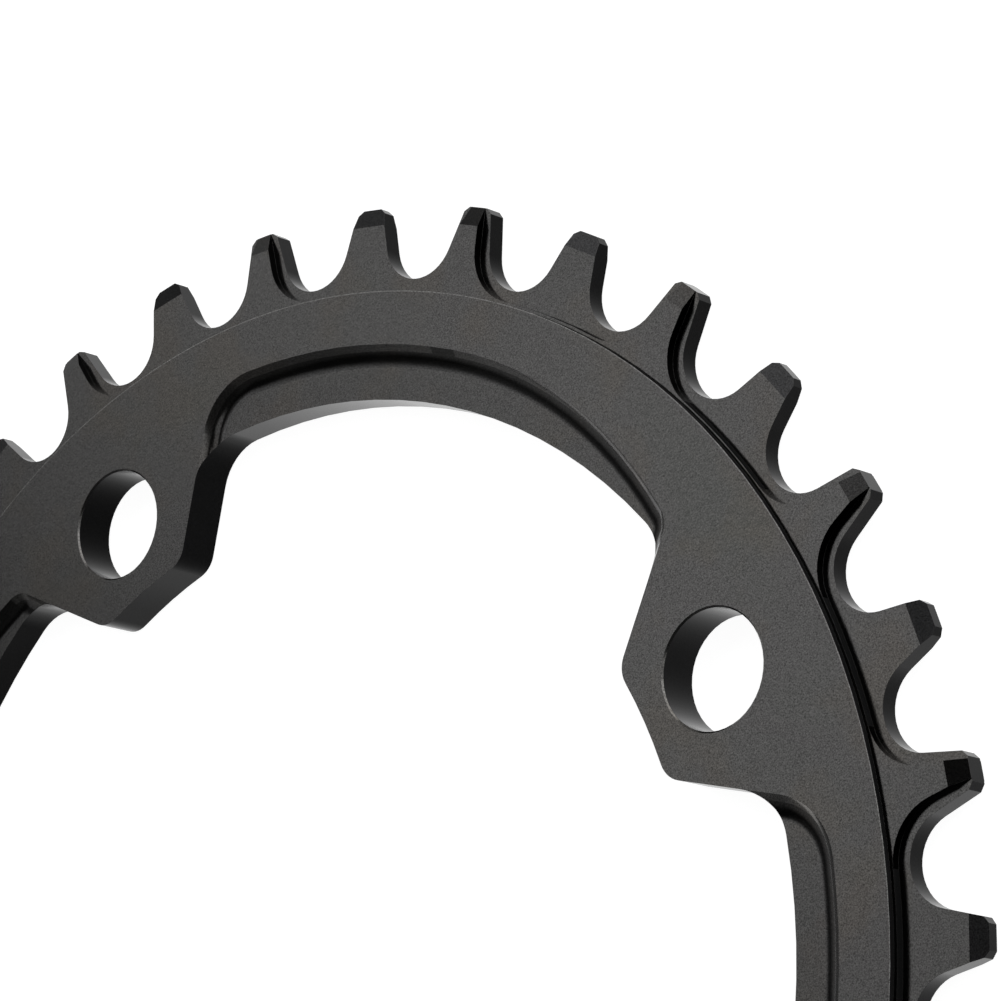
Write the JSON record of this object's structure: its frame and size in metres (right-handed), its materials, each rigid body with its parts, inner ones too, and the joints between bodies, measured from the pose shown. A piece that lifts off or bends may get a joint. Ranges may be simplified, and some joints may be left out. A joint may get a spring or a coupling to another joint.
{
  "type": "bicycle chainring",
  "caption": "Flat ring with alternating narrow and wide chain teeth, stepped rim, scooped pockets inside and tabs with bolt holes, which carries a bicycle chain on a crank.",
  "frame": {"origin": "centre of the bolt circle, on the flat back face of the tabs", "axes": "+Z along the ring axis, out of the dressed front face; +X and +Y through the centres of two neighbouring bolt holes"},
  "size_m": [0.143, 0.1432, 0.004],
  "materials": {
    "black_anodised": "black anodised, bead-blasted satin"
  },
  "bodies": {
    "root": {"chainring": "black_anodised"}
  },
  "joints": []
}
